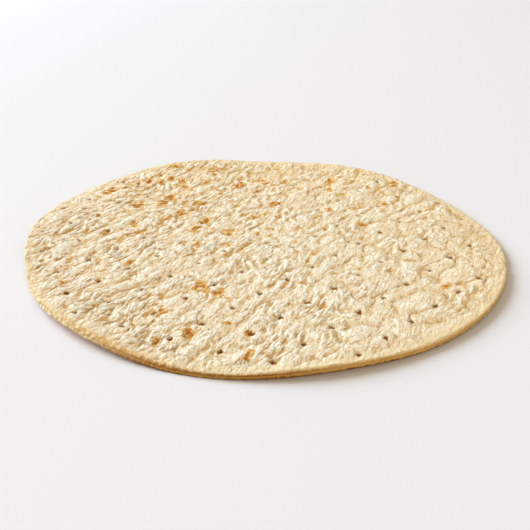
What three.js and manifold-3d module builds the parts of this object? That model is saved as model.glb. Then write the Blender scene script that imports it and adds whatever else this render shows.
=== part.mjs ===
// Thin par-baked pizza crust: one sheet of dough, pricked by a docking roller, die cut to a round
// and baked pale, so that its skin puffs into folds and its edge curls off the table in places.
// Millimetres, +Z up, +Y away from the viewer. The origin is the middle of the flat underside.

import * as THREE from "three";
import { mergeVertices } from "three/addons/utils/BufferGeometryUtils.js";
import Module from "manifold-3d";

// Round and thickness. The sheet thins towards its edge, and most at one side.
const MEAN_RADIUS = 152.8;
const THICKNESS = 4.6;
const EDGE_THICKNESS = 3.6;
const EDGE_ROLL = 24; // width of the band that comes down to the edge
const THIN_SIDE = { bearing: -10, near: 20, far: 90 };
const THIN_SIDE_SHARE = 0.3;

// Waves of the outline: how many round the rim, how high, and the bearing of one crest.
// The first is the oval that is left when the sheeted dough draws in along its rolling direction.
const OUTLINE_WAVES = [
  { count: 2, height: 7.1, crest: -39.5 },
  { count: 3, height: 1.5, crest: 4.0 },
  { count: 4, height: 1.3, crest: -36.2 },
  { count: 5, height: 0.7, crest: -15.5 },
  { count: 6, height: 0.6, crest: -4.8 },
  { count: 7, height: 0.6, crest: 8.7 },
];

// Places where the baked edge curls up off the table
const EDGE_CURLS = [
  { bearing: 178, height: 4.5, halfWidth: 36 },
  { bearing: 112, height: 2.7, halfWidth: 27 },
  { bearing: 50, height: 2.2, halfWidth: 45 },
  { bearing: -33, height: 2.5, halfWidth: 45 },
  { bearing: -75, height: 2.9, halfWidth: 26 },
  { bearing: -135, height: 6.1, halfWidth: 32 },
];
const CURL_START = 0.66; // share of the radius that stays flat on the table

// Edge section from the lip down to the heel. The skin has torn back from the rim along the crumbly
// side, where the edge slopes.
const LIP_INSET = 0.7;
const CRUMBLY_SIDE = { bearing: -130, near: 15, far: 34 };
const CRUMBLY_BEVEL = 2.4;
const EDGE_SECTION = [
  { inset: 0.1, bevelShare: 0.45, height: 0.74 },
  { inset: 0.4, bevelShare: 0.1, height: 0.46 },
  { inset: 0, bevelShare: 0, height: 0.26 },
  { inset: 0.7, bevelShare: 0, height: 0 },
];
const NICK_BEARING = -15.8; // small chip out of the rim
const NICK_DEPTH = 1.7;
const NICK_HEIGHT = 20;
const NICK_SIDES = 4;

// Docking pricks: a staggered grid in rows along the pricking direction
const PRICK_BEARING = 44.04;
const PRICK_PITCH = 22.36;
const PRICK_ROW_GAP = 27.5;
const FIRST_PRICK = { x: 104.3, y: -48.5 };
const PRICK_EDGE_MARGIN = 5.5;
const PRICK_MOUTH_RADIUS = 2.0;
const PRICK_DEPTH = 2.6;
const PRICK_OVERCUT = 1.5; // height of the cutter above the skin
const PRICK_SIDES = 6;

// Skin: puffed folds with creases between them, bent a little, a slow swell, and a border along the
// edge that is smoothest at one side
const FOLD_BEARING = 55;
const FOLD_LENGTH = 30;
const FOLD_WIDTH = 13;
const FOLD_HEIGHT = 2.2;
const FOLD_MEAN = 0.2;
const FOLD_LEFT = -100; // folds are highest to the left of this
const FOLD_RIGHT = 90; // and lowest to the right of this
const FOLD_SLANT = 0.15;
const FOLD_RIGHT_SHARE = 0.4;
const BEND_LENGTH = 34;
const BEND_REACH = 7;
const SWELL_LENGTH = 48;
const SWELL_HEIGHT = 0.5;
const BORDER_WIDTH = 10;
const BORDER_RISE = 0.25;
const SMOOTH_SIDE = { bearing: -30, near: 40, far: 100 };
const BORDER_SMOOTH_SHARE = 0.35;
const BORDER_ROUGH_SHARE = 0.8;
const FOLD_SEED = 11;
const SWELL_SEED = 23;
const BEND_SEED = 61;

// Facets
const EDGE_COUNT = 196;
const TOP_RINGS = 31;
const INNERMOST_COUNT = 6;
const UNDERSIDE_RINGS = [
  { share: 0.9, count: 88 },
  { share: 0.78, count: 60 },
  { share: 0.66, count: 36 },
  { share: 0.3, count: 12 },
  { share: 0.1, count: 3 },
];

const CREAM = 0xe5cfa8;
const DRY_ROUGHNESS = 0.9;

const { clamp, degToRad, euclideanModulo, lerp, radToDeg, smootherstep, smoothstep } = THREE.MathUtils;
const FULL_TURN = 2 * Math.PI;

// Repeatable random share from 0 to 1 for a grid point with whole-number coordinates:
// large odd multipliers scatter the bits of the three numbers.
const SCATTER_A = 374761393;
const SCATTER_B = 668265263;
const SCATTER_C = 1274126177;
function chance(i, j, seed) {
  let mixed = Math.imul(i, SCATTER_A) ^ Math.imul(j, SCATTER_B) ^ Math.imul(seed, SCATTER_C);
  mixed = Math.imul(mixed ^ (mixed >>> 13), SCATTER_A);
  mixed = Math.imul(mixed ^ (mixed >>> 16), SCATTER_B);
  return ((mixed ^ (mixed >>> 15)) >>> 0) / 2 ** 32;
}

// Smooth uneven surface between about -0.7 and 0.7: each grid point tilts its own random way
function unevenness(x, y, seed) {
  const i = Math.floor(x);
  const j = Math.floor(y);
  const tilt = (a, b) => {
    const turn = FULL_TURN * chance(i + a, j + b, seed);
    return Math.cos(turn) * (x - i - a) + Math.sin(turn) * (y - j - b);
  };
  const u = smootherstep(x - i, 0, 1);
  const v = smootherstep(y - j, 0, 1);
  return lerp(lerp(tilt(0, 0), tilt(1, 0), u), lerp(tilt(0, 1), tilt(1, 1), u), v);
}

function outlineRadius(angle) {
  let radius = MEAN_RADIUS;
  for (const wave of OUTLINE_WAVES) {
    radius += wave.height * Math.cos(wave.count * (angle - degToRad(wave.crest)));
  }
  return radius;
}

// How far an angle is from a bearing, in degrees
function apart(angle, bearing) {
  const turn = euclideanModulo(radToDeg(angle) - bearing, 360);
  return Math.min(turn, 360 - turn);
}

// Share from 0 to 1 of how much an angle belongs to one side of the rim
function onSide(angle, side) {
  return 1 - smoothstep(apart(angle, side.bearing), side.near, side.far);
}

// How far the dough stands off the table
function lift(x, y) {
  const angle = Math.atan2(y, x);
  const share = Math.hypot(x, y) / outlineRadius(angle);
  const ramp = clamp((share - CURL_START) / (1 - CURL_START), 0, 1);
  let height = 0;
  for (const curl of EDGE_CURLS) {
    const part = clamp(apart(angle, curl.bearing) / curl.halfWidth, 0, 1);
    height += curl.height * 0.5 * (1 + Math.cos(Math.PI * part));
  }
  return height * ramp ** 2;
}

function edgeThickness(angle) {
  return EDGE_THICKNESS * (1 - THIN_SIDE_SHARE * onSide(angle, THIN_SIDE));
}

// How far the skin has torn back from the rim
function bevel(angle) {
  return CRUMBLY_BEVEL * onSide(angle, CRUMBLY_SIDE);
}

// Relief of the top skin about its mean plane
function skinRelief(x, y) {
  const angle = Math.atan2(y, x);
  const bentX = x + BEND_REACH * unevenness(x / BEND_LENGTH, y / BEND_LENGTH, BEND_SEED);
  const bentY = y + BEND_REACH * unevenness(x / BEND_LENGTH, y / BEND_LENGTH, BEND_SEED + 1);
  const turn = degToRad(FOLD_BEARING);
  const along = bentX * Math.cos(turn) + bentY * Math.sin(turn);
  const across = bentY * Math.cos(turn) - bentX * Math.sin(turn);
  const puff = Math.abs(unevenness(along / FOLD_LENGTH, across / FOLD_WIDTH, FOLD_SEED)) - FOLD_MEAN;
  const rightward = smoothstep(x + FOLD_SLANT * y, FOLD_LEFT, FOLD_RIGHT);
  const border = 1 - smoothstep(outlineRadius(angle) - Math.hypot(x, y), 0, BORDER_WIDTH);
  const smoothSide = onSide(angle, SMOOTH_SIDE);
  const borderShare = lerp(1, lerp(BORDER_ROUGH_SHARE, BORDER_SMOOTH_SHARE, smoothSide), border);
  const fold = FOLD_HEIGHT * puff * lerp(1, FOLD_RIGHT_SHARE, rightward) * borderShare;
  const swell = SWELL_HEIGHT * unevenness(x / SWELL_LENGTH, y / SWELL_LENGTH, SWELL_SEED);
  return fold + swell + BORDER_RISE * border * smoothSide;
}

// Height of the top skin above the table
function topHeight(x, y) {
  const angle = Math.atan2(y, x);
  const fromEdge = outlineRadius(angle) - Math.hypot(x, y);
  const nearEdge = clamp(1 - fromEdge / EDGE_ROLL, 0, 1);
  const comeDown = (THICKNESS - edgeThickness(angle)) * nearEdge ** 2;
  return THICKNESS + lift(x, y) - comeDown + skinRelief(x, y);
}

// A closed row of points round the crust: radius and height are worked out for each bearing
function ring(count, stagger, radiusAt, heightAt) {
  const points = [];
  for (let k = 0; k < count; k += 1) {
    const angle = (FULL_TURN * (k + stagger)) / count;
    const radius = radiusAt(angle);
    const x = radius * Math.cos(angle);
    const y = radius * Math.sin(angle);
    points.push(new THREE.Vector3(x, y, heightAt(x, y)));
  }
  return { points, stagger };
}

// Triangles between two neighbouring rows of unlike count
function stitch(first, second, firstStart, secondStart, triangles) {
  const countA = first.points.length;
  const countB = second.points.length;
  let a = 0;
  let b = 0;
  while (a < countA || b < countB) {
    const nextA = (a + 1 + first.stagger) / countA;
    const nextB = (b + 1 + second.stagger) / countB;
    const from = firstStart + (a % countA);
    const to = secondStart + (b % countB);
    if (b < countB && (a === countA || nextB <= nextA)) {
      b += 1;
      triangles.push(from, to, secondStart + (b % countB));
    } else {
      a += 1;
      triangles.push(from, to, firstStart + (a % countA));
    }
  }
}

// Closed skin over a stack of rows, with a fan over the first and the last of them
function closedSkin(rings) {
  const starts = [];
  const positions = [];
  for (const row of rings) {
    starts.push(positions.length / 3);
    for (const point of row.points) {
      positions.push(point.x, point.y, point.z);
    }
  }
  const triangles = [];
  for (let k = 0; k + 1 < rings.length; k += 1) {
    stitch(rings[k], rings[k + 1], starts[k], starts[k + 1], triangles);
  }
  for (let k = 1; k + 1 < rings[0].points.length; k += 1) {
    triangles.push(0, k, k + 1);
  }
  const last = starts[starts.length - 1];
  for (let k = 1; k + 1 < rings[rings.length - 1].points.length; k += 1) {
    triangles.push(last, last + k + 1, last + k);
  }
  const geometry = new THREE.BufferGeometry();
  geometry.setAttribute("position", new THREE.Float32BufferAttribute(positions, 3));
  geometry.setIndex(triangles);
  return geometry;
}

// The baked sheet before it is pricked: top skin, edge and underside as one closed skin
function sheetGeometry() {
  const rings = [];
  const lipRadius = (angle) => outlineRadius(angle) - LIP_INSET - bevel(angle);
  for (let k = 1; k <= TOP_RINGS; k += 1) {
    const share = k / TOP_RINGS;
    const count = Math.max(INNERMOST_COUNT, Math.round(EDGE_COUNT * share));
    const stagger = k === TOP_RINGS ? 0 : 0.5 * (k % 2);
    rings.push(ring(count, stagger, (angle) => share * lipRadius(angle), topHeight));
  }
  for (const { inset, bevelShare, height } of EDGE_SECTION) {
    const wallRadius = (angle) => outlineRadius(angle) - inset - bevelShare * bevel(angle);
    const wallHeight = (x, y) => lift(x, y) + height * edgeThickness(Math.atan2(y, x));
    rings.push(ring(EDGE_COUNT, 0, wallRadius, wallHeight));
  }
  for (const { share, count } of UNDERSIDE_RINGS) {
    rings.push(ring(count, 0, (angle) => share * outlineRadius(angle), lift));
  }
  return closedSkin(rings);
}

// Cone with its tip down at the foot of a prick, wide enough to clear the skin above it
function prickGeometry(x, y) {
  const height = PRICK_DEPTH + PRICK_OVERCUT;
  const radius = (PRICK_MOUTH_RADIUS * height) / PRICK_DEPTH;
  const cone = new THREE.ConeGeometry(radius, height, PRICK_SIDES);
  cone.rotateX(-Math.PI / 2);
  cone.translate(x, y, topHeight(x, y) + PRICK_OVERCUT - height / 2);
  return cone;
}

// Every grid place that lies inside the outline
function prickPlaces() {
  const places = [];
  const turn = degToRad(PRICK_BEARING);
  const reach = Math.ceil((2 * MEAN_RADIUS) / PRICK_PITCH) + 1;
  for (let row = -reach; row <= reach; row += 1) {
    const stagger = row % 2 === 0 ? 0 : 0.5;
    for (let step = -reach; step <= reach; step += 1) {
      const along = (step + stagger) * PRICK_PITCH;
      const across = row * PRICK_ROW_GAP;
      const x = FIRST_PRICK.x + along * Math.cos(turn) - across * Math.sin(turn);
      const y = FIRST_PRICK.y + along * Math.sin(turn) + across * Math.cos(turn);
      if (Math.hypot(x, y) < outlineRadius(Math.atan2(y, x)) - PRICK_EDGE_MARGIN) {
        places.push({ x, y });
      }
    }
  }
  return places;
}

// Upright four-sided bar that cuts a notch through the rim, with one corner pointing inward
function nickGeometry() {
  const angle = degToRad(NICK_BEARING);
  const bar = new THREE.CylinderGeometry(NICK_DEPTH, NICK_DEPTH, NICK_HEIGHT, NICK_SIDES);
  bar.rotateX(Math.PI / 2);
  bar.translate(outlineRadius(angle), 0, 0);
  bar.rotateZ(angle);
  return bar;
}

const wasm = await Module();
wasm.setup();

function toSolid(geometry) {
  const bare = geometry.clone();
  bare.deleteAttribute("normal");
  bare.deleteAttribute("uv");
  const merged = mergeVertices(bare);
  const vertProperties = new Float32Array(merged.attributes.position.array);
  const triVerts = new Uint32Array(merged.index.array);
  return new wasm.Manifold(new wasm.Mesh({ numProp: 3, vertProperties, triVerts }));
}

function toGeometry(solid) {
  const { vertProperties, triVerts } = solid.getMesh();
  const geometry = new THREE.BufferGeometry();
  geometry.setAttribute("position", new THREE.BufferAttribute(vertProperties, 3));
  geometry.setIndex(new THREE.BufferAttribute(triVerts, 1));
  geometry.computeVertexNormals();
  return geometry;
}

let crustSolid = toSolid(sheetGeometry()).subtract(toSolid(nickGeometry()));
for (const { x, y } of prickPlaces()) {
  crustSolid = crustSolid.subtract(toSolid(prickGeometry(x, y)));
}

const bakedSkin = new THREE.MeshStandardMaterial({ color: CREAM, roughness: DRY_ROUGHNESS, metalness: 0 });
const crust = new THREE.Mesh(toGeometry(crustSolid), bakedSkin);
crust.name = "crust";

const pizzaCrust = new THREE.Group();
pizzaCrust.add(crust);

export default pizzaCrust;
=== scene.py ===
import math

import bmesh
import bpy
import numpy as np
from mathutils import Matrix, Vector


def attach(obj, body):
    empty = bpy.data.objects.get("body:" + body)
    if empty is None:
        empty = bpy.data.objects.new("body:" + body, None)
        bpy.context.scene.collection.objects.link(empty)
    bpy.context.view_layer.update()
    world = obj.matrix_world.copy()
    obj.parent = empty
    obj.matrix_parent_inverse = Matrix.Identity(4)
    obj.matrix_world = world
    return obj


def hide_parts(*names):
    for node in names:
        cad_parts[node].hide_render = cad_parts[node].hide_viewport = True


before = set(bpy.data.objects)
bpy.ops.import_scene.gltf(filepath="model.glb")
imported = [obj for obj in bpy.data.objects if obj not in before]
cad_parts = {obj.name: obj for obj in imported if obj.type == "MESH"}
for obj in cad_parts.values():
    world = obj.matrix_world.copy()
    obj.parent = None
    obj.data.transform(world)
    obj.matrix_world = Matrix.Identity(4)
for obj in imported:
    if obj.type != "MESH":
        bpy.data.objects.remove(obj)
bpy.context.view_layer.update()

# Round of the crust: one sheet of thin dough, die cut to a round that draws in along the rolling
# direction as it bakes. Its edge curls off the table in six places and thins towards the lip.
# Sizes are in millimetres and bearings in degrees from +X, until the mesh is scaled to metres.
MM = 0.001
MEAN_RADIUS = 152.8
THICKNESS = 4.6
EDGE_THICKNESS = 3.6
EDGE_ROLL = 24
THIN_SIDE = (-10, 20, 90)  # bearing, and how far from it the side begins to fade and ends
THIN_SIDE_SHARE = 0.3
OUTLINE_WAVES = (  # count round the rim, height, bearing of one crest
    (2, 7.1, -39.5),
    (3, 1.5, 4.0),
    (4, 1.3, -36.2),
    (5, 0.7, -15.5),
    (6, 0.6, -4.8),
    (7, 0.6, 8.7),
)
EDGE_CURLS = (  # bearing, height, half width
    (178, 4.5, 36),
    (112, 2.7, 27),
    (50, 2.2, 45),
    (-33, 2.5, 45),
    (-75, 2.9, 26),
    (-135, 6.1, 32),
)
CURL_START = 0.66  # share of the radius that stays flat
NICK_BEARING = -15.8
NICK_DEPTH = 1.7
NICK_HALF_WIDTH = 1.3


def smoothstep(value, low, high):
    """Share that grows smoothly from 0 to 1 as a value goes from low to high."""
    part = np.clip((value - low) / (high - low), 0, 1)
    return part * part * (3 - 2 * part)


def blend(first, second, part):
    return first + (second - first) * part


def outline_radius(angle):
    radius = np.full_like(angle, MEAN_RADIUS)
    for count, height, crest in OUTLINE_WAVES:
        radius += height * np.cos(count * (angle - math.radians(crest)))
    return radius


def apart(angle, bearing):
    """How far each angle is from a bearing, in degrees."""
    turn = np.mod(np.degrees(angle) - bearing, 360)
    return np.minimum(turn, 360 - turn)


def on_side(angle, side):
    """Share from 0 to 1 of how much each angle belongs to one side of the round."""
    bearing, fade_start, fade_end = side
    return 1 - smoothstep(apart(angle, bearing), fade_start, fade_end)


def nick(angle):
    """How far the small nick in the rim cuts in."""
    along_rim = MEAN_RADIUS * np.radians(apart(angle, NICK_BEARING))
    return NICK_DEPTH * np.exp(-((along_rim / NICK_HALF_WIDTH) ** 2))


def lift(x, y):
    """How far the dough stands off the table."""
    angle = np.arctan2(y, x)
    share = np.hypot(x, y) / outline_radius(angle)
    ramp = np.clip((share - CURL_START) / (1 - CURL_START), 0, 1)
    height = np.zeros_like(x)
    for bearing, rise, half_width in EDGE_CURLS:
        part = np.clip(apart(angle, bearing) / half_width, 0, 1)
        height += rise * 0.5 * (1 + np.cos(math.pi * part))
    return height * ramp**2


def from_edge(x, y):
    return outline_radius(np.arctan2(y, x)) - np.hypot(x, y)


def edge_thickness(angle):
    return EDGE_THICKNESS * (1 - THIN_SIDE_SHARE * on_side(angle, THIN_SIDE))


def edge_roll(x, y):
    """How far the skin has come down towards the lip."""
    part = np.clip(1 - from_edge(x, y) / EDGE_ROLL, 0, 1)
    return (THICKNESS - edge_thickness(np.arctan2(y, x))) * part**2


# Skin of the crust: baking puffs the dough into pillows drawn out along the rolling direction, with
# sharp creases between. They are boldest at the left, give way to dimples between thin ridges at the
# centre and to low plates at the right, and a smoother border runs along the right and front edge.
FOLDS = {
    # length, width, height, bearing, shares at the left, centre and right, roundness, patchiness, seed
    "main": (30, 13, 2.2, 55, (1.0, 0.7, 0.4), 1.0, 0.0, 11),
    "pillow": (16, 7.5, 0.9, 50, (1.0, 0.25, 0.1), 0.5, 0.4, 31),
    "wrinkle": (11, 4.4, 1.0, 56, (1.0, 0.2, 0.1), 0.65, 0.5, 41),
    "crumple": (7, 3.0, 1.3, 59, (0.95, 0.2, 0.42), 0.9, 0.4, 43),
    "dimple": (13, 5.6, -1.35, 70, (0.1, 1.0, 0.45), 0.8, 0.4, 53),
    "ridge": (10, 2.9, 0.9, 70, (0.2, 1.0, 0.42), 0.9, 0.4, 47),
    "plate": (27, 19, 1.45, 60, (0.1, 0.3, 1.0), 0.5, 0.0, 37),
}
FOLD_MEAN = 0.2
FOLD_LEFT = -100
FOLD_RIGHT = 90
FOLD_SLANT = 0.15
LEFT_CENTRE_RIGHT = (0, 0.5, 1)
ROUGH_SHARES = (0.8, 0.75, 0.55)  # at the left, centre and right
ROUGH_FRONT = 1.1
ROUGH_BACK = 0.85
PATCH_LENGTH = 26
PATCH_FADE = (-0.3, 0.3)
PATCH_SEED = 67
WARP_LENGTH = 34
WARP_REACH = 7
WARP_SEED = 61
FINE_WARP_LENGTH = 12
FINE_WARP_REACH = 3.5
FINE_WARP_SEED = 71
SWELL_LENGTH = 48
SWELL_HEIGHT = 0.5
SWELL_SEED = 23
SMOOTH_SIDE = (-30, 40, 100)
BORDER_WIDTH = 10
BORDER_RISE = 0.25
BORDER_SMOOTH_SHARE = 0.35
BORDER_ROUGH_SHARE = 0.8
FINE_BORDER_FADE = (2, 12)
FINE_BORDER_SHARE = 0.5
SCATTER_A = 374761393
SCATTER_B = 668265263
SCATTER_C = 1274126177


def chance(i, j, seed):
    """Repeatable random share from 0 to 1 for whole-number grid points."""
    scatter_a, scatter_b = np.uint32(SCATTER_A), np.uint32(SCATTER_B)
    i = np.asarray(i, np.int64).astype(np.uint32)
    j = np.asarray(j, np.int64).astype(np.uint32)
    start = np.uint32(seed * SCATTER_C % 2**32)
    mixed = i * scatter_a ^ j * scatter_b ^ start
    mixed = (mixed ^ mixed >> np.uint32(13)) * scatter_a
    mixed = (mixed ^ mixed >> np.uint32(16)) * scatter_b
    return (mixed ^ mixed >> np.uint32(15)) / 2**32


def unevenness(x, y, seed):
    """Smooth uneven surface between about -0.7 and 0.7."""
    i, j = np.floor(x), np.floor(y)
    u, v = x - i, y - j

    def tilt(a, b):
        turn = math.tau * chance(i + a, j + b, seed)
        return np.cos(turn) * (u - a) + np.sin(turn) * (v - b)

    fade_u = u**3 * (u * (6 * u - 15) + 10)
    fade_v = v**3 * (v * (6 * v - 15) + 10)
    near = blend(tilt(0, 0), tilt(1, 0), fade_u)
    far = blend(tilt(0, 1), tilt(1, 1), fade_u)
    return blend(near, far, fade_v)


def drift(x, y, length, reach, seed):
    """Sideways shift that bends folds which would lie straight."""
    return [reach * unevenness(x / length, y / length, seed + step) for step in (0, 1)]


def skin_relief(x, y):
    """Height of the skin about its mean plane, distance from each kind of crease, and roughness."""
    rightward = smoothstep(x + FOLD_SLANT * y, FOLD_LEFT, FOLD_RIGHT)
    border = 1 - smoothstep(from_edge(x, y), 0, BORDER_WIDTH)
    smooth_side = on_side(np.arctan2(y, x), SMOOTH_SIDE)
    border_share = blend(1, blend(BORDER_ROUGH_SHARE, BORDER_SMOOTH_SHARE, smooth_side), border)
    fine_border = 1 - smoothstep(from_edge(x, y), *FINE_BORDER_FADE)
    fine_share = blend(1, blend(BORDER_ROUGH_SHARE, FINE_BORDER_SHARE, smooth_side), fine_border)
    height = SWELL_HEIGHT * unevenness(x / SWELL_LENGTH, y / SWELL_LENGTH, SWELL_SEED)
    height += BORDER_RISE * border * smooth_side
    bend_x, bend_y = drift(x, y, WARP_LENGTH, WARP_REACH, WARP_SEED)
    crumple_x, crumple_y = drift(x, y, FINE_WARP_LENGTH, FINE_WARP_REACH, FINE_WARP_SEED)
    bent_x, bent_y = x + bend_x, y + bend_y
    wavy_x, wavy_y = bent_x + crumple_x, bent_y + crumple_y
    patch = smoothstep(unevenness(x / PATCH_LENGTH, y / PATCH_LENGTH, PATCH_SEED), *PATCH_FADE)
    creases = {}
    for name, (length, width, rise, bearing, shares, roundness, patchiness, seed) in FOLDS.items():
        turn = math.radians(bearing)
        fold_x, fold_y = (bent_x, bent_y) if name == "main" else (wavy_x, wavy_y)
        along = fold_x * math.cos(turn) + fold_y * math.sin(turn)
        across = fold_y * math.cos(turn) - fold_x * math.sin(turn)
        wave = unevenness(along / length, across / width, seed)
        puff = np.abs(wave) ** roundness - FOLD_MEAN**roundness
        here = np.interp(rightward, LEFT_CENTRE_RIGHT, shares)
        here *= border_share if name == "main" else fine_share
        here *= 1 + patchiness * (2 * patch - 1)
        height += rise * puff * here
        creases[name] = wave * width / here
    roughness = np.interp(rightward, LEFT_CENTRE_RIGHT, ROUGH_SHARES) * fine_share
    roughness *= blend(ROUGH_FRONT, ROUGH_BACK, smoothstep(y, -MEAN_RADIUS, MEAN_RADIUS))
    return height, creases, roughness


# Docking pricks: a roller's pins go into the raw sheet on a staggered grid, to stop it ballooning.
# Baking leaves a pinhole in a small funnel, darkened inside with painted shade, and closes some
# pricks where the skin puffs most.
PRICK_BEARING = 44.04
PRICK_PITCH = 22.36
PRICK_ROW_GAP = 27.5
FIRST_PRICK = (104.3, -48.5)
PRICK_EDGE_MARGIN = 5.5
PRICK_FUNNEL_RADIUS = 3.6
PRICK_FUNNEL_DEPTH = 0.75
PRICK_FUNNEL_SHIFT = (-0.7, 1.0)
PRICK_HOLE_RADIUS = 2.1
PRICK_HOLE_STRETCH = 1.15
PRICK_HOLE_DEPTH = 1.6
PRICK_FLOOR_SHARE = 0.6  # share of the hole's radius that reaches its full depth
PRICK_RAGGED_LENGTH = 2.0
PRICK_RAGGED_SHARE = 0.7
PRICK_GATHER_RADIUS = 5.0
PRICK_GATHER_SHARE = 0.45
PRICK_LEAST_SIZE = 0.75
PRICK_LEAST_OPEN = 0.1
PRICK_LEAST_SHUT = 0.6
PRICK_SHUT_RADIUS_SHARE = 0.5
PUFFED_MIDDLE = (-10, 62)
PUFFED_REACH = 95
PRICK_SEED = 71


def prick_places():
    """Place and openness of every prick inside the outline."""
    turn = math.radians(PRICK_BEARING)
    reach = math.ceil(2 * MEAN_RADIUS / PRICK_PITCH) + 1
    count = np.arange(-reach, reach + 1)
    rows, steps = np.meshgrid(count, count, indexing="ij")
    along = (steps + 0.5 * (rows % 2)) * PRICK_PITCH
    across = rows * PRICK_ROW_GAP
    x = FIRST_PRICK[0] + along * math.cos(turn) - across * math.sin(turn)
    y = FIRST_PRICK[1] + along * math.sin(turn) + across * math.cos(turn)
    inside = from_edge(x, y) > PRICK_EDGE_MARGIN
    x, y, rows, steps = x[inside], y[inside], rows[inside], steps[inside]
    away = np.hypot(x - PUFFED_MIDDLE[0], y - PUFFED_MIDDLE[1]) / PUFFED_REACH
    shut = (1 - PRICK_LEAST_OPEN) * blend(PRICK_LEAST_SHUT, 1, chance(rows, steps, PRICK_SEED))
    size = blend(PRICK_LEAST_SIZE, 1, chance(rows, steps, PRICK_SEED + 1))
    return np.stack([x, y, size * (1 - shut * np.exp(-(away**2)))], axis=1)


# Toasted spots: thin blisters of the skin that browned first, in shallow hollows of their own.
# The largest are placed as this crust has them, and small ones gather at the back left and centre.
LARGE_SPOTS = (  # x, y, length, strength
    (-112, 90, 18, 1.1),
    (-66, 137, 15, 0.9),
    (-34, 125, 18, 0.9),
    (-39, 101, 13, 0.9),
    (-12, 96, 18, 1.0),
    (-64, 75, 21, 1.0),
    (-87, 63, 18, 1.1),
    (-69, 64, 15, 1.0),
    (13, 57, 15, 1.1),
    (-54, 47, 16, 1.0),
    (-36, 31, 16, 1.0),
    (57, 98, 14, 1.1),
    (104, 88, 14, 1.1),
    (-42, 19, 15, 0.9),
    (-19, 13, 16, 0.8),
    (-38, -5, 13, 0.8),
    (51, 45, 13, 0.7),
    (-33, -60, 16, 0.9),
    (-22, -69, 15, 1.0),
    (-37, -111, 15, 1.0),
    (-54, -120, 11, 0.8),
    (-5, -135, 10, 1.0),
)
SMALL_SPOTS = 300
SMALL_SPOT_LENGTHS = (5, 13)
SMALL_SPOT_STRENGTHS = (0.15, 1.0)
SPOT_GATHERINGS = (  # x, y, spread, weight
    (-50, 75, 55, 1.0),
    (-110, 40, 35, 0.06),
    (0, 35, 48, 0.55),
    (-20, -80, 40, 0.2),
    (60, 80, 35, 0.5),
)
SPOT_ASPECT = 0.6
SPOT_BEARING = 78
SPOT_TURN = 30
SPOT_FADE = (0.1, 1.2)  # shares of its half length
SPOT_RAGGED_LENGTH = 3.4
SPOT_RAGGED_SHARE = 1.0
SPOT_HOLLOW = 0.03  # depth as a share of the length
SPOT_SEED = 83


def toasted_spots():
    """Rows of x, y, length, strength and bearing."""
    draw = np.random.default_rng(SPOT_SEED)
    spots = [(*spot, SPOT_BEARING + SPOT_TURN * draw.uniform(-1, 1)) for spot in LARGE_SPOTS]
    while len(spots) < len(LARGE_SPOTS) + SMALL_SPOTS:
        x, y = draw.uniform(-MEAN_RADIUS, MEAN_RADIUS, 2)
        weight = 0
        for middle_x, middle_y, spread, most in SPOT_GATHERINGS:
            away = math.hypot(x - middle_x, y - middle_y) / spread
            weight = max(weight, most * math.exp(-0.5 * away**2))
        if draw.uniform() > weight or math.hypot(x, y) > MEAN_RADIUS - BORDER_WIDTH:
            continue
        length = draw.uniform(*SMALL_SPOT_LENGTHS)
        strength = blend(*SMALL_SPOT_STRENGTHS, draw.uniform() ** 2)
        spots.append((x, y, length, strength, SPOT_BEARING + SPOT_TURN * draw.uniform(-1, 1)))
    return spots


# Skin mesh: a fine square net drawn into the round, with its points gathered round each prick.
# Heights come from the thinned edge, the curls, the puffed skin, the pricks and the toasted spots.
# At the front left the skin has torn back from the rim and left a sloping, crumbly edge.
SKIN_CELLS = 288
LIP_INSET = 0.7
LIP_START = 0.94  # share of the radius where the net begins to draw in
CRUMBLY_SIDE = (-130, 15, 34)
TORN_BACK = 2.4
TORN_RAGGED = 2.0
TORN_RAGGED_LENGTH = 4.0
CRUMB_SEED = 97
HOLLOW_REACH = (6, 30)  # smoothing passes for narrow and wide hollows
HOLLOW_DEPTH = 0.5
LEVEL_SKIN = 0.5  # measure of skin that is neither hollow nor raised


def bevel(angle):
    """How far the skin has torn back from the rim."""
    ragged = unevenness(MEAN_RADIUS * angle / TORN_RAGGED_LENGTH, np.zeros_like(angle), CRUMB_SEED)
    return on_side(angle, CRUMBLY_SIDE) * (TORN_BACK + TORN_RAGGED * ragged)


def square_to_round(corners):
    """Share of the radius and angle for points of the square from -1 to 1, ring by ring."""
    x, y = corners[:, 0], corners[:, 1]
    reach = np.maximum(np.abs(x), np.abs(y))
    wide = np.abs(x) >= np.abs(y)
    slope = np.where(wide, y, x) / np.where(reach == 0, 1, np.where(wide, x, y))
    angle = np.where(wide, math.pi / 4 * slope, math.pi / 2 - math.pi / 4 * slope)
    backward = np.where(wide, x < 0, y < 0)
    return reach, angle + math.pi * backward


def smoothed(heights, passes):
    """Heights of the net after each point is averaged with its neighbours."""
    for _ in range(passes):
        wide = np.pad(heights, 1, mode="edge")
        heights = (wide[:-2, 1:-1] + wide[2:, 1:-1] + wide[1:-1, :-2] + wide[1:-1, 2:] + heights) / 5
    return heights


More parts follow.
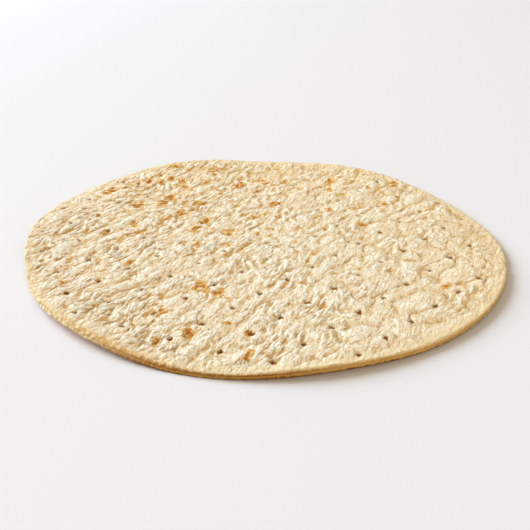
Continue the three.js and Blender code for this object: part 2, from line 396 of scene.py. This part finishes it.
skin = bmesh.new()
bmesh.ops.create_grid(skin, x_segments=SKIN_CELLS, y_segments=SKIN_CELLS, size=1)
share, angle = square_to_round(np.array([vert.co[:] for vert in skin.verts]))
angle = np.arctan2(np.sin(angle), np.cos(angle))
drawn_in = LIP_INSET + bevel(angle) + nick(angle)
radius = share * outline_radius(angle) - drawn_in * smoothstep(share, LIP_START, 1)
x, y = radius * np.cos(angle), radius * np.sin(angle)
pricks = prick_places()
for place_x, place_y, _ in pricks:
    near = np.flatnonzero(np.hypot(x - place_x, y - place_y) < PRICK_GATHER_RADIUS)
    away = np.hypot(x[near] - place_x, y[near] - place_y) / PRICK_GATHER_RADIUS
    drawn = PRICK_GATHER_SHARE + (1 - PRICK_GATHER_SHARE) * away**2
    drawn = np.where(share[near] < 1, drawn, 1)
    x[near] = place_x + (x[near] - place_x) * drawn
    y[near] = place_y + (y[near] - place_y) * drawn
relief, creases, roughness = skin_relief(x, y)
toast = np.zeros_like(x)
for spot_x, spot_y, length, strength, bearing in toasted_spots():
    near = np.flatnonzero(np.hypot(x - spot_x, y - spot_y) < length)
    turn = math.radians(bearing)
    off_x, off_y = x[near] - spot_x, y[near] - spot_y
    along = (off_x * math.cos(turn) + off_y * math.sin(turn)) / (0.5 * length)
    across = (off_y * math.cos(turn) - off_x * math.sin(turn)) / (0.5 * length * SPOT_ASPECT)
    ragged = unevenness(x[near] / SPOT_RAGGED_LENGTH, y[near] / SPOT_RAGGED_LENGTH, SPOT_SEED)
    inside = 1 - smoothstep(np.hypot(along, across) + SPOT_RAGGED_SHARE * ragged, *SPOT_FADE)
    toast[near] = np.maximum(toast[near], strength * inside)
    relief[near] -= SPOT_HOLLOW * length * inside
net = relief.reshape(SKIN_CELLS + 1, SKIN_CELLS + 1)
depth = sum(smoothed(net, passes) - net for passes in HOLLOW_REACH) / len(HOLLOW_REACH)
hollow = np.clip(LEVEL_SKIN + LEVEL_SKIN * depth.ravel() / HOLLOW_DEPTH, 0, 1)
hole = np.zeros_like(x)
ragged = unevenness(x / PRICK_RAGGED_LENGTH, y / PRICK_RAGGED_LENGTH, PRICK_SEED)
ragged_share = 1 + PRICK_RAGGED_SHARE * ragged
for place_x, place_y, openness in pricks:
    away = np.hypot(x - place_x, (y - place_y) / PRICK_HOLE_STRETCH) * ragged_share
    aside = np.hypot(x - place_x - PRICK_FUNNEL_SHIFT[0], y - place_y - PRICK_FUNNEL_SHIFT[1])
    funnel = np.clip(1 - aside / PRICK_FUNNEL_RADIUS, 0, 1) ** 2
    hole_radius = PRICK_HOLE_RADIUS * blend(PRICK_SHUT_RADIUS_SHARE, 1, openness)
    core = 1 - smoothstep(away, PRICK_FLOOR_SHARE * hole_radius, hole_radius)
    relief -= openness * (PRICK_FUNNEL_DEPTH * funnel + PRICK_HOLE_DEPTH * core)
    hole = np.maximum(hole, openness * core)
height = THICKNESS + lift(x, y) - edge_roll(x, y) + relief
for vert, place in zip(skin.verts, np.stack([x, y, height], axis=1)):
    vert.co = place

# Cut edge: the die leaves a wall with a groove along its middle and a heel that turns under, and that
# sags where the edge is off the table. It is grown ring by ring from the rim of the skin, clean all
# round apart from the crumbly front left.
EDGE_SECTION = (  # inset from the outline, share of the bevel, height as a share of the thickness
    (0.3, 0.75, 0.9),
    (0.05, 0.5, 0.76),
    (0.1, 0.3, 0.62),
    (0.4, 0.15, 0.5),
    (0.35, 0.05, 0.4),
    (0.0, 0.0, 0.28),
    (0.1, 0.0, 0.13),
    (0.7, 0.0, 0.0),
)
HEEL_LEVEL = 0.28
HEEL_DROP = 0.8
HEEL_FULL_LIFT = 2.0
EDGE_CRUMB_LENGTH = 2.4
EDGE_CRUMB_ROWS = 3
EDGE_CRUMB_DEPTHS = (0.3, 1.1)  # on the clean and on the crumbly rim
rim = [edge for edge in skin.edges if edge.is_boundary]
skin_end = len(skin.verts)
edge_levels = []
edge_bearings = []
for inset, bevel_share, level in EDGE_SECTION:
    grown = bmesh.ops.extrude_edge_only(skin, edges=rim)["geom"]
    corners = [item for item in grown if isinstance(item, bmesh.types.BMVert)]
    rim = [item for item in grown if isinstance(item, bmesh.types.BMEdge) and item.is_boundary]
    bearing = np.array([math.atan2(corner.co.y, corner.co.x) for corner in corners])
    round_rim = MEAN_RADIUS * bearing / EDGE_CRUMB_LENGTH
    crumb = unevenness(round_rim, np.full_like(bearing, EDGE_CRUMB_ROWS * level), CRUMB_SEED + 1)
    out = outline_radius(bearing) - nick(bearing) - inset - bevel_share * bevel(bearing)
    out += blend(*EDGE_CRUMB_DEPTHS, on_side(bearing, CRUMBLY_SIDE)) * crumb
    edge_x, edge_y = out * np.cos(bearing), out * np.sin(bearing)
    rise = lift(edge_x, edge_y)
    heel = max(0, 1 - level / HEEL_LEVEL) * smoothstep(rise, 0, HEEL_FULL_LIFT)
    edge_z = rise + level * edge_thickness(bearing) - HEEL_DROP * heel
    for corner, place in zip(corners, np.stack([edge_x, edge_y, edge_z], axis=1)):
        corner.co = place
    edge_levels += [level] * len(corners)
    edge_bearings += list(bearing)
edge_end = len(skin.verts)

# Underside: the face that lay on the baking tray, flat where it lies on the table and raised with
# the curls. It is a coarser net of the same round, bridged to the heel, which closes the crust.
UNDERSIDE_CELLS = 64
UNDERSIDE_SHARE = 0.97
cells = UNDERSIDE_CELLS
underside = bmesh.ops.create_grid(skin, x_segments=cells, y_segments=cells, size=1)["verts"]
under_share, under_angle = square_to_round(np.array([vert.co[:] for vert in underside]))
under_radius = UNDERSIDE_SHARE * under_share * outline_radius(under_angle)
under_x, under_y = under_radius * np.cos(under_angle), under_radius * np.sin(under_angle)
for vert, place in zip(underside, np.stack([under_x, under_y, lift(under_x, under_y)], axis=1)):
    vert.co = place
bmesh.ops.reverse_faces(skin, faces=list({face for vert in underside for face in vert.link_faces}))
bmesh.ops.bridge_loops(skin, edges=[edge for edge in skin.edges if edge.is_boundary])
bmesh.ops.recalc_face_normals(skin, faces=skin.faces)
bmesh.ops.scale(skin, vec=Vector((MM, MM, MM)), verts=skin.verts)
for face in skin.faces:
    face.smooth = True
crust_mesh = bpy.data.meshes.new("crust_baked")
skin.to_mesh(crust_mesh)
skin.free()

# Measures of the surface: the finish colours each place by how it lies, partly with painted shade
# and highlight. Each point of the mesh keeps how hollow, creased, toasted, pricked or torn it is, and
# where on the skin, edge or underside it lies.
CREASED_FOLDS = ("main", "pillow", "wrinkle", "plate")
FAR_FROM_CREASE = 50
GILT_BACK_SHARE = 0.5
GILT_BACK_FADE = (20, 130)
GILT_RIGHT_SHARE = 0.4
GILT_RIGHT_FADE = (40, 150)
PALER_LEFT_SHARE = 0.35
PALER_LEFT_FADE = (-140, -20)
GOLD_BORDER_START = 1
EDGE_SIDES = {
    "edge_crumb": (-146, 10, 36),
    "edge_painted_light_left": (175, 20, 50),
    "edge_painted_light_right": (-30, 40, 58),
}
TORN_SIDE = (-124, 3, 18)
TORN_FADE = (2.5, 4.5)


def keep_measure(name, values, start=0, elsewhere=0.0):
    """Stores a number for each point of the crust, for its finish to read."""
    column = np.full(len(crust_mesh.vertices), elsewhere, np.float32)
    column[start : start + len(values)] = values
    crust_mesh.attributes.new(name, "FLOAT", "POINT").data.foreach_set("value", column)


edge_bearings = np.array(edge_bearings)
gilt_back = GILT_BACK_SHARE * smoothstep(y, *GILT_BACK_FADE)
gilt_right = GILT_RIGHT_SHARE * smoothstep(x, *GILT_RIGHT_FADE)
gold_border = 1 - smoothstep(from_edge(x, y), GOLD_BORDER_START, BORDER_WIDTH)
torn_skin = on_side(angle, TORN_SIDE) * (1 - smoothstep(from_edge(x, y), *TORN_FADE))
keep_measure("toast", toast)
for name in CREASED_FOLDS:
    keep_measure("crease_" + name, creases[name], elsewhere=FAR_FROM_CREASE)
keep_measure("hollow", hollow, elsewhere=LEVEL_SKIN)
keep_measure("hole", hole)
keep_measure("rough", roughness)
keep_measure("gilt", np.maximum(gilt_back, gilt_right))
keep_measure("paler_left", PALER_LEFT_SHARE * (1 - smoothstep(x, *PALER_LEFT_FADE)))
keep_measure("border", gold_border, elsewhere=1.0)
keep_measure("edge", np.ones(edge_end - skin_end), start=skin_end)
keep_measure("edge_level", edge_levels, start=skin_end, elsewhere=1.0)
for name, side in EDGE_SIDES.items():
    keep_measure(name, on_side(edge_bearings, side), start=skin_end)
keep_measure("torn", np.concatenate([torn_skin, on_side(edge_bearings, TORN_SIDE)]))
keep_measure("underneath", np.ones(len(crust_mesh.vertices) - edge_end), start=edge_end)

# Baked skin: dry, floury dough. A painted highlight makes the puffed crests pale and painted shade
# makes the hollows and creases ochre. It is more golden at the back, at the right and along the
# border, and palest at the left.
CREAM = (238, 220, 181)
PALE_CREAM = (249, 238, 207)
BACK_GOLD = (238, 204, 142)
LEFT_PALE = (255, 239, 206)
CREST_HIGHLIGHT_PALE = (255, 249, 229)
HOLLOW_SHADE_OCHRE = (204, 160, 88)
CREASE_SHADE_LINE = (178, 130, 68)
FLOUR_WHITE = (255, 248, 232)
PIT_TAN = (196, 152, 92)
BORDER_GOLD = (246, 224, 174)
SPECKLE_DETAIL = 2.0
SPECKLE_ROUGHNESS = 0.6
MOTTLE_SIZE = 14
MOTTLE_RANGE = (0.35, 0.65)  # low, high and, where it isn't 1, the most of the share between them
CREST_RANGE = (0.5, 0.2)
FLECK_SIZE = 3
FLECK_SHARE = 0.5
HOLLOW_RANGE = (0.65, 1.2)
CREASE_REACH = 0.5
CREASE_SHADE_SHARE = 0.35
BREAK_SIZE = 7
BREAK_RANGE = (0.48, 0.65)
DUST_SIZE = 1.3
DUST_DETAIL = 1.0
FLOUR_RANGE = (0.55, 0.75, 0.6)
PIT_RANGE = (0.45, 0.27, 0.6)
BORDER_RANGE = (0.0, 1.0, 0.5)
baked = bpy.data.materials.new("baked_dough")
baked.use_nodes = True
tree = baked.node_tree
shader = tree.nodes["Principled BSDF"]


def light_of(red, green, blue):
    """Linear light of a display colour."""
    return [((part / 255 + 0.055) / 1.055) ** 2.4 for part in (red, green, blue)] + [1]


def add_node(kind, inputs, **settings):
    """Node of the baked dough, with each input linked to another node or set to a value."""
    node = tree.nodes.new(kind)
    for name, value in settings.items():
        setattr(node, name, value)
    for socket, value in inputs.items():
        if isinstance(value, bpy.types.NodeSocket):
            tree.links.new(value, node.inputs[socket])
        else:
            node.inputs[socket].default_value = value
    return node


def mix_colours(part, first, second):
    """Colour between two, each of them a display colour or another node's."""
    inputs = {0: part}
    for socket, value in ((6, first), (7, second)):
        inputs[socket] = value if isinstance(value, bpy.types.NodeSocket) else light_of(*value)
    return add_node("ShaderNodeMix", inputs, data_type="RGBA").outputs[2]


def part_between(value, low, high, most=1.0):
    """Share that grows smoothly from 0 to the most as a value goes from low to high."""
    inputs = {"Value": value, "From Min": low, "From Max": high, "To Max": most}
    return add_node("ShaderNodeMapRange", inputs, interpolation_type="SMOOTHSTEP").outputs[0]


def speckle(size, detail=SPECKLE_DETAIL):
    """Uneven share about 0.5, with specks of a size in millimetres."""
    inputs = {
        "Vector": dough_place,
        "Scale": 1 / (size * MM),
        "Detail": detail,
        "Roughness": SPECKLE_ROUGHNESS,
    }
    return add_node("ShaderNodeTexNoise", inputs).outputs[0]


def measure(name):
    return add_node("ShaderNodeAttribute", {}, attribute_name=name).outputs["Fac"]


def combine(operation, first, second):
    return add_node("ShaderNodeMath", {0: first, 1: second}, operation=operation).outputs[0]


dough_place = add_node("ShaderNodeTexCoord", {}).outputs["Object"]
colour = mix_colours(part_between(speckle(MOTTLE_SIZE), *MOTTLE_RANGE), CREAM, PALE_CREAM)
colour = mix_colours(measure("gilt"), colour, BACK_GOLD)
colour = mix_colours(measure("paler_left"), colour, LEFT_PALE)
# Painted highlight: the raised crests are made paler.
colour = mix_colours(part_between(measure("hollow"), *CREST_RANGE), colour, CREST_HIGHLIGHT_PALE)
# Painted shade: the hollows, and some random flecks, turn ochre.
hollow_shade_and_flecks = combine("ADD", measure("hollow"), combine("MULTIPLY", speckle(FLECK_SIZE), FLECK_SHARE))
colour = mix_colours(part_between(hollow_shade_and_flecks, *HOLLOW_RANGE), colour, HOLLOW_SHADE_OCHRE)
# Painted shade: thin darker lines along the creases; the same lines are also cut into the bump below.
crease_line = 0.0
for name in CREASED_FOLDS:
    off = combine("ABSOLUTE", measure("crease_" + name), 0.0)
    crease_line = combine("MAXIMUM", crease_line, part_between(off, CREASE_REACH, 0.0))
crease_line = combine("MULTIPLY", crease_line, part_between(speckle(BREAK_SIZE), *BREAK_RANGE))
colour = mix_colours(combine("MULTIPLY", crease_line, CREASE_SHADE_SHARE), colour, CREASE_SHADE_LINE)
dust = speckle(DUST_SIZE, DUST_DETAIL)
colour = mix_colours(part_between(dust, *FLOUR_RANGE), colour, FLOUR_WHITE)
colour = mix_colours(part_between(dust, *PIT_RANGE), colour, PIT_TAN)
colour = mix_colours(part_between(measure("border"), *BORDER_RANGE), colour, BORDER_GOLD)

# Toasting: the spots go from gold to brown-orange in broken flakes, painted shade darkens the inside
# of a prick, and the underside has browned in even patches against the baking tray.
TOAST_GOLD = (226, 178, 96)
TOAST_BROWN = (188, 116, 28)
HOLE_SHADE_BROWN = (160, 103, 22)
UNDERSIDE_GOLD = (246, 156, 60)
UNDERSIDE_BROWN = (226, 128, 38)
FLAKE_SIZE = 2.4
FLAKE_RANGE = (0.36, 0.64)
FLAKE_LEAST = 0.4
TOAST_GOLD_RANGE = (0.06, 0.48)
TOAST_BROWN_RANGE = (0.45, 1.0)
HOLE_RANGE = (0.12, 0.72)
TRAY_PATCH_SIZE = 18
TRAY_PATCH_DETAIL = 4.0
TRAY_PATCH_RANGE = (0.4, 0.65)
flake = combine("ADD", part_between(speckle(FLAKE_SIZE), *FLAKE_RANGE), FLAKE_LEAST)
toasted = combine("MULTIPLY", measure("toast"), flake)
colour = mix_colours(part_between(toasted, *TOAST_GOLD_RANGE), colour, TOAST_GOLD)
colour = mix_colours(part_between(toasted, *TOAST_BROWN_RANGE), colour, TOAST_BROWN)
# Painted shade: the inside of each prick is made dark brown.
colour = mix_colours(part_between(measure("hole"), *HOLE_RANGE), colour, HOLE_SHADE_BROWN)
tray_patch = part_between(speckle(TRAY_PATCH_SIZE, TRAY_PATCH_DETAIL), *TRAY_PATCH_RANGE)
tray_side = mix_colours(tray_patch, UNDERSIDE_GOLD, UNDERSIDE_BROWN)
colour = mix_colours(measure("underneath"), colour, tray_side)

# Edge crumb: the cut wall shows ochre crumb in bands, with painted shade darkest in the groove and
# at the heel. Painted light makes it lighter round the right and pale at the left, and it is loose at
# the front left under a torn ochre slope.
# Toasted crumb and painted shade: darker in the groove and towards the heel.
EDGE_CRUMB_AND_SHADE = (  # height as a share of the edge's thickness, colour
    (0.0, (112, 62, 8)),
    (0.12, (138, 84, 18)),
    (0.28, (186, 135, 58)),
    (0.42, (188, 139, 64)),
    (0.55, (142, 92, 26)),
    (0.75, (166, 117, 46)),
    (1.0, (241, 214, 158)),
)
# Colour of the wall's random streaks and of its painted light round the right.
EDGE_STREAK_AND_PAINTED_LIGHT = (238, 198, 126)
EDGE_PAINTED_LIGHT_LEFT = (246, 226, 180)
CRUMB_DARK = (222, 190, 134)
CRUMB_LIGHT = (255, 243, 208)
TORN_OCHRE = (220, 172, 98)
CRUMB_SIZE = 1.8
CRUMB_RANGE = (0.4, 0.75)
CRUMB_UNEVEN = 0.6
STREAK_SIZE = 6
STREAK_RANGE = (0.35, 0.65)
STREAK_LEVELS = (0.1, 0.35, 0.1)
EDGE_PAINTED_LIGHT_LEVELS = (0.05, 0.3, 0.45)
EDGE_LEFT_LIGHT_SHARE = 0.75
TORN_LEVELS = (0.3, 0.7, 0.9)
TORN_CRUMB_RANGE = (0.68, 0.4)
crumb = speckle(CRUMB_SIZE)
uneven = combine("MULTIPLY", combine("SUBTRACT", crumb, 0.5), CRUMB_UNEVEN)
level = combine("ADD", measure("edge_level"), uneven)
ramp = add_node("ShaderNodeValToRGB", {"Fac": level})
while len(ramp.color_ramp.elements) < len(EDGE_CRUMB_AND_SHADE):
    ramp.color_ramp.elements.new(1.0)
for stop, (position, shade) in zip(ramp.color_ramp.elements, EDGE_CRUMB_AND_SHADE):
    stop.position = position
    stop.color = light_of(*shade)
streak = part_between(speckle(STREAK_SIZE), *STREAK_RANGE)
streak_share = combine("MULTIPLY", streak, part_between(level, *STREAK_LEVELS))
# Painted light: the wall is lighter round the right.
painted_light_share = combine("MULTIPLY", measure("edge_painted_light_right"), part_between(level, *EDGE_PAINTED_LIGHT_LEVELS))
wall = mix_colours(combine("ADD", painted_light_share, streak_share), ramp.outputs["Color"], EDGE_STREAK_AND_PAINTED_LIGHT)
# Painted light: the wall is paler at the left.
wall = mix_colours(combine("MULTIPLY", measure("edge_painted_light_left"), EDGE_LEFT_LIGHT_SHARE), wall, EDGE_PAINTED_LIGHT_LEFT)
loose_crumb = mix_colours(part_between(crumb, *CRUMB_RANGE), CRUMB_DARK, CRUMB_LIGHT)
wall = mix_colours(measure("edge_crumb"), wall, loose_crumb)
colour = mix_colours(measure("edge"), colour, wall)
torn_share = combine("MULTIPLY", measure("torn"), part_between(level, *TORN_LEVELS))
torn_share = combine("MULTIPLY", torn_share, part_between(crumb, *TORN_CRUMB_RANGE))
colour = mix_colours(torn_share, colour, TORN_OCHRE)
tree.links.new(colour, shader.inputs["Base Color"])

# Grain of the dough: matt, a little translucent, with fine puffs and grains drawn out along the
# rolling direction, the creases cut in between the folds, and a floury roughness over all.
DOUGH_ROUGHNESS = 0.85
DOUGH_GLOSS = 0.25
SCATTER_SHARE = 0.12
SCATTER_RADIUS = (1.0, 0.5, 0.2)
SCATTER_SCALE = 1.5
GRAIN_BEARING = 66
GRAIN_LENGTH = 5.6
GRAIN_WIDTH = 2.4
GRAIN_HEIGHT = 0.55
CREASE_DEPTH = 0.55
PUFF_DETAIL = 1.0
PUFF_HEIGHT = 2.4
FLOUR_SIZE = 0.7
FLOUR_DETAIL = 3.0
FLOUR_HEIGHT = 0.75


def raised(height, distance, normal=None):
    """Bump whose raised parts stand a distance in millimetres above its lowest."""
    inputs = {"Height": height, "Distance": distance * MM}
    if normal:
        inputs["Normal"] = normal
    return add_node("ShaderNodeBump", inputs).outputs[0]


shader.inputs["Roughness"].default_value = DOUGH_ROUGHNESS
shader.inputs["Specular IOR Level"].default_value = DOUGH_GLOSS
shader.inputs["Subsurface Weight"].default_value = SCATTER_SHARE
shader.inputs["Subsurface Radius"].default_value = SCATTER_RADIUS
shader.inputs["Subsurface Scale"].default_value = SCATTER_SCALE * MM
stretch = {
    "Vector": dough_place,
    "Rotation": (0, 0, math.radians(GRAIN_BEARING)),
    "Scale": (GRAIN_LENGTH * MM, GRAIN_WIDTH * MM, GRAIN_WIDTH * MM),
}
grain_place = add_node("ShaderNodeMapping", stretch, vector_type="TEXTURE").outputs[0]
grain_inputs = {"Vector": grain_place, "Scale": 1.0}
grain = add_node("ShaderNodeTexVoronoi", grain_inputs).outputs["Distance"]
grain_top = combine("SUBTRACT", 1.0, combine("MULTIPLY", grain, grain))
normal = raised(grain_top, GRAIN_HEIGHT)
normal = raised(combine("SUBTRACT", 1.0, crease_line), CREASE_DEPTH, normal)
ripple = add_node("ShaderNodeTexNoise", {**grain_inputs, "Detail": PUFF_DETAIL}).outputs[0]
puff = combine("ABSOLUTE", combine("SUBTRACT", ripple, 0.5), 0.0)
normal = raised(combine("MULTIPLY", puff, measure("rough")), PUFF_HEIGHT, normal)
normal = raised(speckle(FLOUR_SIZE, FLOUR_DETAIL), FLOUR_HEIGHT, normal)
tree.links.new(normal, shader.inputs["Normal"])
crust_mesh.materials.append(baked)
crust = bpy.data.objects.new("crust_baked", crust_mesh)
bpy.context.scene.collection.objects.link(crust)
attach(crust, "root")
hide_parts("crust")

# Floor: a plain pale sheet, matt and unmarked, that the crust lies on. It is only the stage for the
# crust and its shadow, and it is too wide for its edges to show at the photograph's angle.
FLOOR_HALF_WIDTH = 12.0
FLOOR_WHITE = (227, 228, 229)
FLOOR_ROUGHNESS = 0.8
FLOOR_GLOSS = 0.1
floor_form = bmesh.new()
bmesh.ops.create_grid(floor_form, x_segments=1, y_segments=1, size=FLOOR_HALF_WIDTH)
floor_mesh = bpy.data.meshes.new("floor")
floor_form.to_mesh(floor_mesh)
floor_form.free()
floor_paint = bpy.data.materials.new("floor_paint")
floor_paint.use_nodes = True
floor_shader = floor_paint.node_tree.nodes["Principled BSDF"]
floor_shader.inputs["Base Color"].default_value = light_of(*FLOOR_WHITE)
floor_shader.inputs["Roughness"].default_value = FLOOR_ROUGHNESS
floor_shader.inputs["Specular IOR Level"].default_value = FLOOR_GLOSS
floor_mesh.materials.append(floor_paint)
floor = bpy.data.objects.new("floor", floor_mesh)
bpy.context.scene.collection.objects.link(floor)

# Studio light: one soft, cool key from the back left, which rakes the relief, a warm reflector at
# the front right, which lights the cut edge, and a warm fill all round. They add up to white.
KEY_BEARING = 152
KEY_ELEVATION = 31
KEY_DISTANCE = 6.0
KEY_WIDTH = 4.8
KEY_POWER = 576
KEY_COLOUR = (228, 239, 255)
REFLECTOR_BEARING = -55
REFLECTOR_ELEVATION = 30
REFLECTOR_DISTANCE = 5.0
REFLECTOR_WIDTH = 4.0
REFLECTOR_POWER = 80
REFLECTOR_COLOUR = (255, 236, 206)
FILL_STRENGTH = 0.45
FILL_COLOUR = (255, 237, 210)


def soft_light(name, bearing, elevation, distance, width, power, colour):
    """Round lamp that faces the middle of the crust, with sizes in metres and power in watts."""
    lamp = bpy.data.lights.new(name, "AREA")
    lamp.shape = "DISK"
    lamp.size = width
    lamp.energy = power
    lamp.color = light_of(*colour)[:3]
    holder = bpy.data.objects.new(name, lamp)
    turn, tilt = math.radians(bearing), math.radians(elevation)
    toward = Vector((math.cos(turn) * math.cos(tilt), math.sin(turn) * math.cos(tilt), math.sin(tilt)))
    holder.location = toward * distance
    holder.rotation_euler = toward.to_track_quat("Z", "Y").to_euler()
    bpy.context.scene.collection.objects.link(holder)


soft_light("key", KEY_BEARING, KEY_ELEVATION, KEY_DISTANCE, KEY_WIDTH, KEY_POWER, KEY_COLOUR)
soft_light(
    "reflector",
    REFLECTOR_BEARING,
    REFLECTOR_ELEVATION,
    REFLECTOR_DISTANCE,
    REFLECTOR_WIDTH,
    REFLECTOR_POWER,
    REFLECTOR_COLOUR,
)
surround = bpy.data.worlds.new("surround")
surround.use_nodes = True
fill = surround.node_tree.nodes["Background"]
fill.inputs["Color"].default_value = light_of(*FILL_COLOUR)
fill.inputs["Strength"].default_value = FILL_STRENGTH
bpy.context.scene.world = surround
bpy.context.scene.view_settings.view_transform = "Standard"

# Camera at the photograph's angle: about half a metre from the middle of the crust, with a slightly
# long lens, looking down over the near edge and rolled a little.
CAMERA_LENS = 53.99
CAMERA_SENSOR = 36
CAMERA_PLACE = (4.85, -471.8, 233.9)
CAMERA_ELEVATION = 27.8
CAMERA_ROLL = -1.5
camera_data = bpy.data.cameras.new("camera")
camera_data.lens = CAMERA_LENS
camera_data.sensor_width = CAMERA_SENSOR
camera = bpy.data.objects.new("camera", camera_data)
tilt = Matrix.Rotation(math.radians(90 - CAMERA_ELEVATION), 4, "X")
roll = Matrix.Rotation(math.radians(CAMERA_ROLL), 4, "Z")
camera.matrix_world = Matrix.Translation(Vector(CAMERA_PLACE) * MM) @ tilt @ roll
bpy.context.scene.collection.objects.link(camera)
bpy.context.scene.camera = camera
